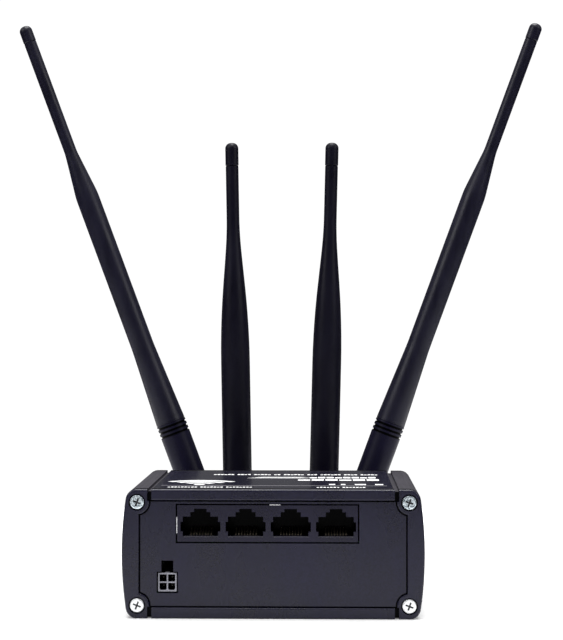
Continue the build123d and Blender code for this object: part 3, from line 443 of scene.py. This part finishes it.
# The power pins are near-black, which paints in the shade inside the socket's cells.
pins_with_painted_shade = plated_metal("pins_with_painted_shade", (0.07, 0.065, 0.06), 0.45)
turned_brass = plated_metal("turned_brass", (0.80, 0.60, 0.28), 0.28, grain=(1.0, 0.06, 1.0))
steel = plated_metal("steel", (0.66, 0.66, 0.68), 0.28)
can_metal = plated_metal("can_metal", (0.30, 0.31, 0.33), 0.5)
pipe_plastic = clear_plastic("pipe_plastic")
board_green = solder_resist("board_green")

node_looks = {
    case_metal: ["housing"],
    label_film: ["top_label"],
    panel_plastic: ["front_panel", "back_panel"],
    zinc: ["front_screws", "back_screws"],
    port_plastic: ["jack_housing"],
    shield_tin: ["jack_shield"],
    tin: ["processor", "modem_shield", "sim_holder"],
    gold_with_painted_shade: ["jack_contacts"],
    pins_with_painted_shade: ["power_pins"],
    socket_plastic: ["power_socket"],
    inner_plastic: [
        "modem_socket",
        "board_link",
        "network_transformers",
        "memory_chips",
        "power_choke",
        "reset_switch",
        "antenna_leads",
    ],
    button_plastic: ["reset_plunger"],
    light_body: ["status_lights"],
    pipe_plastic: ["status_light_pipes"],
    board_green: ["main_board", "port_board", "modem_card"],
    can_metal: ["power_capacitors"],
    turned_brass: ["antenna_jacks", "jack_washers", "jack_nuts", "coupling_nuts"],
}
side_looks = {
    turned_brass: ["stem", "radiator"],
    knuckle_plastic: ["swivel_base", "whip_foot"],
    steel: ["hinge_pin"],
}
for material, pieces in side_looks.items():
    node_looks.setdefault(material, [])
    node_looks[material] += [f"{side}_{piece}" for side in SIDES for piece in pieces]
for side in SIDES:
    rubber = long_rubber if side.startswith("long") else short_rubber
    node_looks.setdefault(rubber, [])
    node_looks[rubber] += [f"{side}_sheath", f"{side}_tip_cap"]

for joint in frame["joints"]:
    side = joint["name"].removesuffix("_fold")
    if joint["name"].endswith("_fold") and side.startswith("long"):
        rod = (joint["axis"][2], 0.0, -joint["axis"][0])
        foot = grooved_plastic(f"{side}_foot_plastic", joint["pos_m"], rod)
        node_looks[knuckle_plastic].remove(f"{side}_whip_foot")
        node_looks[foot] = [f"{side}_whip_foot"]

for material, names in node_looks.items():
    for name in names:
        slots = frame["nodes"][name].data.materials
        slots.clear()
        slots.append(material)


# ---------------------------------------------------------------- print on the top label
film_low, film_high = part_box("top_label")
FILM_TOP = film_high.z
INK_THICKNESS = 0.03 * MM
ARC_STEPS = 20
DISC_SIDES = 24
SHORT_STROKE = 0.72
print_ink = ink("print_ink", (0.95, 0.95, 0.96))
rule_ink = ink("rule_ink", (0.22, 0.21, 0.23))


def flat_solid(name, outlines, material):
    """Thin raised shapes on the label, from closed outlines of (x, y) points in millimetres."""
    mesh = bmesh.new()
    for outline in outlines:
        low = [mesh.verts.new((x * MM, y * MM, FILM_TOP)) for x, y in outline]
        face = mesh.faces.new(low)
        raised = bmesh.ops.extrude_face_region(mesh, geom=[face])
        lifted = [v for v in raised["geom"] if isinstance(v, bmesh.types.BMVert)]
        bmesh.ops.translate(mesh, verts=lifted, vec=(0, 0, INK_THICKNESS))
    bmesh.ops.recalc_face_normals(mesh, faces=mesh.faces)
    data = bpy.data.meshes.new(name)
    mesh.to_mesh(data)
    mesh.free()
    data.materials.append(material)
    made = bpy.data.objects.new(name, data)
    bpy.context.scene.collection.objects.link(made)
    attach(made, "casing")


def arc_angles(start, end, steps):
    """Evenly spaced angles in radians, from start to end in degrees."""
    return [math.radians(start + (end - start) * i / steps) for i in range(steps + 1)]


def round_angles(sides):
    """The corners' angles in radians of a regular polygon with this many sides."""
    step = 360 / sides
    return arc_angles(0, 360 - step, sides - 1)


def arc_points(centre, radius, angles):
    """Points at these angles on a circle."""
    return [(centre[0] + radius * math.cos(t), centre[1] + radius * math.sin(t)) for t in angles]


def arc_band(centre, radius, width, start, end):
    """A curved band, as an outline."""
    outer = arc_points(centre, radius + width / 2, arc_angles(start, end, ARC_STEPS))
    inner = arc_points(centre, radius - width / 2, arc_angles(end, start, ARC_STEPS))
    return outer + inner


def disc(centre, radius):
    """A round spot, as an outline."""
    return arc_points(centre, radius, round_angles(DISC_SIDES))


def bar(left, right, y, height, slant=0.0):
    """A bar with slanted ends, as an outline."""
    low, high = y - height / 2, y + height / 2
    return [(left, low), (right, low), (right + slant, high), (left + slant, high)]


def mock_words(left, right, y, height, stroke, gap, words):
    """Upright strokes in groups of these sizes, which stand for a line of print without any letters."""
    strokes = []
    x = left
    word = 0
    done = 0
    while x + stroke <= right:
        tall = height if (done + word) % 3 else height * SHORT_STROKE
        strokes.append(bar(x, x + stroke, y - (height - tall) / 2, tall))
        x += stroke + gap
        done += 1
        if done == words[word % len(words)]:
            x += stroke
            word += 1
            done = 0
    return strokes


def print_words(name, **layout):
    """One piece of mock print in white ink."""
    flat_solid(name, mock_words(**layout), print_ink)


MARK = (-27.1, -21.5)
signal_mark = [arc_band(MARK, radius, width=2.7, start=42, end=138) for radius in (5.8, 10.6, 15.4)]
signal_mark.append(disc(MARK, radius=2.0))
flat_solid("label_signal_mark", signal_mark, print_ink)

upper_strokes = {"height": 3.2, "stroke": 1.05, "gap": 0.28, "words": (6, 4, 5, 2, 6, 3)}
print_words("label_upper_row", left=-24.4, right=38.9, y=19.4, **upper_strokes)

upper_swash = bar(left=-8.0, right=9.0, y=8.2, height=1.5, slant=2.0)
lower_swash = bar(left=-11.0, right=10.5, y=5.2, height=1.5, slant=3.0)
flat_solid("label_title_swash", [lower_swash, upper_swash], print_ink)
print_words("label_title_row", left=12.5, right=38.9, y=6.9, height=5.4, stroke=2.7, gap=0.45, words=(9,))
print_words("label_subtitle_row", left=8.2, right=39.2, y=-2.6, height=5.8, stroke=4.5, gap=0.6, words=(6,))

marks = ((19.7, 21.9), (24.0, 25.6), (29.0, 33.0), (36.3, 39.2))
flat_solid("label_marks", [bar(left, right, y=-20.7, height=3.6) for left, right in marks], print_ink)

small_print = {"y": -31.7, "height": 2.6, "stroke": 0.85, "gap": 0.34}
lower_left = mock_words(left=-37.6, right=-6.3, words=(9, 7, 8), **small_print)
lower_right = mock_words(left=15.3, right=34.2, words=(7, 7), **small_print)
flat_solid("label_lower_rows", lower_left + lower_right, print_ink)
flat_solid("label_rule", [bar(left=-40.4, right=40.4, y=-25.6, height=0.9)], rule_ink)


# ---------------------------------------------------------------- floor, light and camera
def round_table(name, radius, material):
    """A round flat table top that isn't part of the object."""
    data = bpy.data.meshes.new(name)
    rim = [(radius * math.cos(t), radius * math.sin(t), 0.0) for t in round_angles(TABLE_SIDES)]
    data.from_pydata(rim, [], [range(len(rim))])
    data.materials.append(material)
    made = bpy.data.objects.new(name, data)
    bpy.context.scene.collection.objects.link(made)


def softbox(name, location, target, width, height, power):
    """A rectangular area light that faces a target."""
    lamp = bpy.data.lights.new(name, "AREA")
    lamp.shape = "RECTANGLE"
    lamp.size, lamp.size_y = width, height
    lamp.energy = power
    made = bpy.data.objects.new(name, lamp)
    made.location = location
    made.rotation_euler = (Vector(target) - Vector(location)).to_track_quat("-Z", "Y").to_euler()
    bpy.context.scene.collection.objects.link(made)


round_table("floor", TABLE_RADIUS, floor_material("floor_white"))

# The room is dim low down and bright overhead, and the camera sees plain white beyond the table.
DIM_UP_TO = 0.30
DIM_ROOM = 0.10
BRIGHT_CEILING = 1.10
BACKDROP_WHITE = 1.05

world = bpy.data.worlds.new("studio")
world.use_nodes = True
world_tree = world.node_tree
direction = world_tree.nodes.new("ShaderNodeTexCoord").outputs["Generated"]
height_of = world_tree.nodes.new("ShaderNodeSeparateXYZ")
world_tree.links.new(direction, height_of.inputs["Vector"])
room = world_tree.nodes.new("ShaderNodeMapRange")
room.inputs["From Min"].default_value = DIM_UP_TO
room.inputs["To Min"].default_value = DIM_ROOM
room.inputs["To Max"].default_value = BRIGHT_CEILING
world_tree.links.new(height_of.outputs["Z"], room.inputs["Value"])
backdrop = world_tree.nodes.new("ShaderNodeMix")
backdrop.inputs["B"].default_value = BACKDROP_WHITE
world_tree.links.new(room.outputs["Result"], backdrop.inputs["A"])
seen = world_tree.nodes.new("ShaderNodeLightPath").outputs["Is Camera Ray"]
world_tree.links.new(seen, backdrop.inputs["Factor"])
background = world_tree.nodes["Background"]
background.inputs["Color"].default_value = (1.0, 1.0, 1.0, 1.0)
world_tree.links.new(backdrop.outputs["Result"], background.inputs["Strength"])
bpy.context.scene.world = world

middle = (0.0, 0.0, 0.08)
softbox("top_light", (0.0, 0.45, 2.1), middle, width=1.2, height=0.8, power=40.0)
softbox("edge_light", (0.0, -0.55, 1.7), middle, width=0.9, height=0.15, power=7.0)
softbox("front_light", (-0.25, -1.1, 1.5), middle, width=0.35, height=0.35, power=2.0)
softbox("left_light", (-0.95, -0.45, 0.7), middle, width=0.6, height=0.6, power=4.5)
softbox("right_light", (0.95, -0.40, 0.65), middle, width=0.6, height=0.6, power=3.5)

FOCAL_PIXELS = 1732.0
LONG_SIDE_PIXELS = 640.0
SENSOR_MM = 36.0
CAMERA_TILT = math.radians(90.106)
CAMERA_TURN = math.radians(1.454)

camera_data = bpy.data.cameras.new("camera")
camera_data.sensor_width = SENSOR_MM
camera_data.lens = SENSOR_MM * FOCAL_PIXELS / LONG_SIDE_PIXELS
camera = bpy.data.objects.new("camera", camera_data)
camera.location = (18.4 * MM, -646.0 * MM, 103.6 * MM)
camera.rotation_euler = (CAMERA_TILT, 0.0, CAMERA_TURN)
bpy.context.scene.collection.objects.link(camera)
bpy.context.scene.camera = camera

bpy.context.scene.view_settings.view_transform = "Standard"
